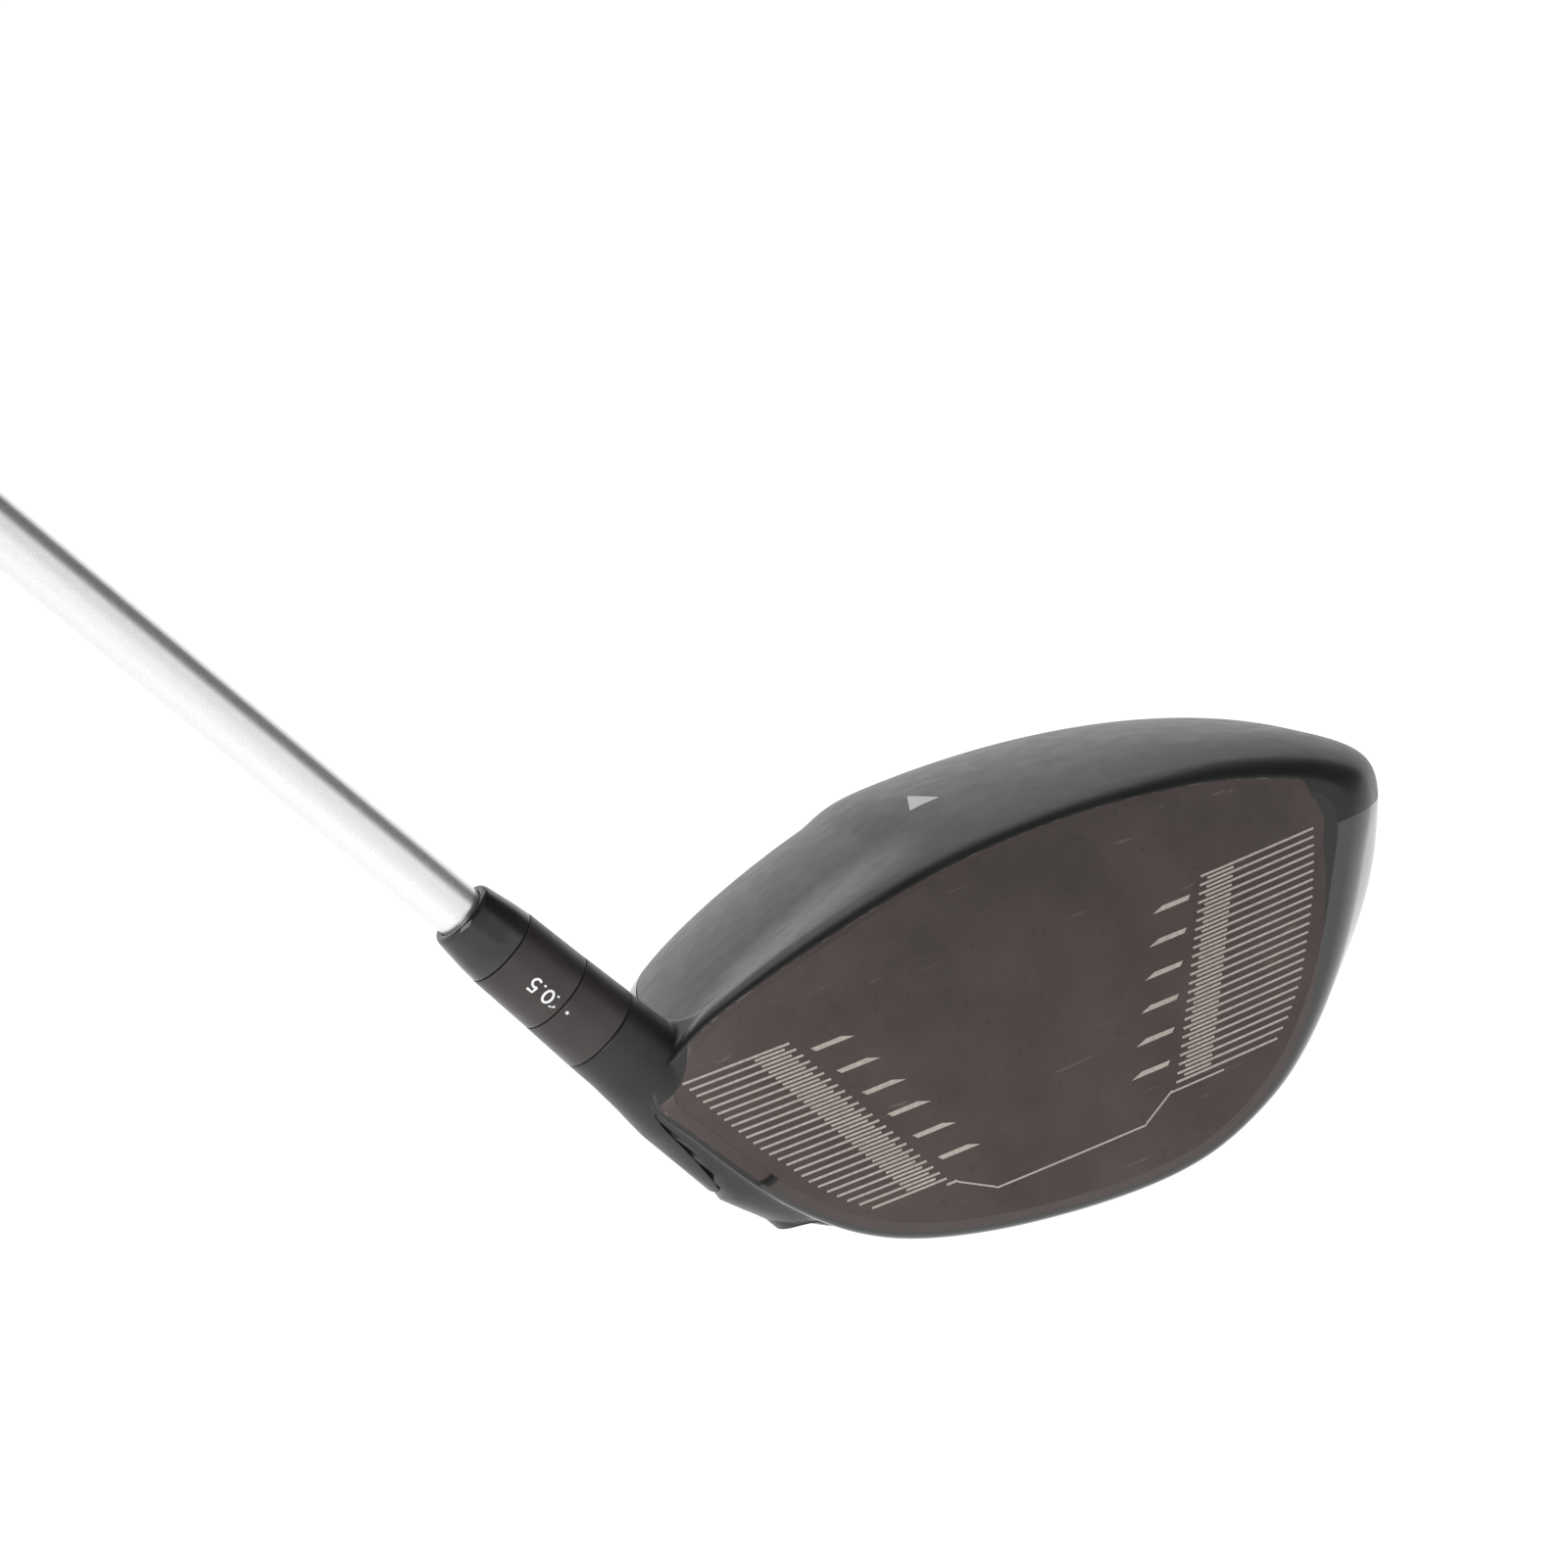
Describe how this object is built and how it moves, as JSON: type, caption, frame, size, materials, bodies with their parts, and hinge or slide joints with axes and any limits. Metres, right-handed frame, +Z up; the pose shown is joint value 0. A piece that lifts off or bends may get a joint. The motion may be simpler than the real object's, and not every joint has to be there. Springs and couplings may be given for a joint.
{
  "type": "golf driver",
  "caption": "Left-handed golf driver with a bonded hollow head, an adjustable loft sleeve, a shaft and a rubber grip.",
  "frame": {"origin": "middle of the flat patch on the sole that rests on the ground at address", "axes": "+X towards the toe, +Y towards the back of the head, +Z up; the face looks along -Y"},
  "size_m": [0.6973, 0.11, 1.0071],
  "materials": {
    "face_metal": "dark satin titanium with light etched marks",
    "body_paint": "matte black paint on a cast titanium body",
    "crown_paint": "matte black paint over a thin composite shell",
    "sole_gloss": "gloss black paint over a thin shell",
    "bond": "cured adhesive",
    "tube_metal": "machined",
    "sleeve_metal": "dark anodised satin",
    "ferrule_plastic": "polished black",
    "shaft_paint": "satin silver paint on graphite",
    "plug": "moulded",
    "tape": "double-sided paper tape",
    "grip_rubber": "black rubber with a fine moulded pattern",
    "cap_plastic": "moulded black",
    "screw_steel": "machined steel",
    "retainer_rubber": "moulded",
    "weight_metal": "turned steel, satin",
    "weight_screw_steel": "dark machined steel"
  },
  "bodies": {
    "shaft_assembly": {"shaft": "shaft_paint", "loft_sleeve": "sleeve_metal", "ferrule": "ferrule_plastic", "tip_plug": "plug", "grip_tape": "tape", "grip": "grip_rubber", "grip_cap": "cap_plastic"},
    "loft_ring": {"loft_ring": "sleeve_metal"},
    "head": {"front_body": "body_paint", "face_plate": "face_metal", "crown_shell": "crown_paint", "sole_shell": "sole_gloss", "seam_bond": "bond", "hosel_tube": "tube_metal", "screw_retainer": "retainer_rubber", "weight_port": "tube_metal"},
    "hosel_screw": {"hosel_screw": "screw_steel", "screw_washer": "tube_metal"},
    "rear_weight": {"rear_weight": "weight_metal"},
    "weight_screw": {"weight_screw": "weight_screw_steel"}
  },
  "joints": [
    {"name": "loft_turn", "type": "hinge", "parent": "shaft_assembly", "child": "loft_ring", "pos_m": [-0.0703, -0.018, 0.05973], "axis": [-0.5, 0, 0.866], "continuous": true},
    {"name": "head_pull", "type": "slide", "parent": "loft_ring", "child": "head", "axis": [0.5, 0, -0.866], "range_m": [0, 0.032]},
    {"name": "hosel_screw_turn", "type": "hinge", "parent": "head", "child": "hosel_screw", "pos_m": [-0.0503, -0.018, 0.02509], "axis": [-0.5, 0, 0.866], "continuous": true},
    {"name": "weight_pull", "type": "slide", "parent": "head", "child": "rear_weight", "axis": [0, 0.4044, -0.9146], "range_m": [0, 0.014]},
    {"name": "weight_screw_turn", "type": "hinge", "parent": "rear_weight", "child": "weight_screw", "pos_m": [0.00373, 0.04832, 0.00785], "axis": [0, 0.4044, -0.9146], "continuous": true}
  ]
}
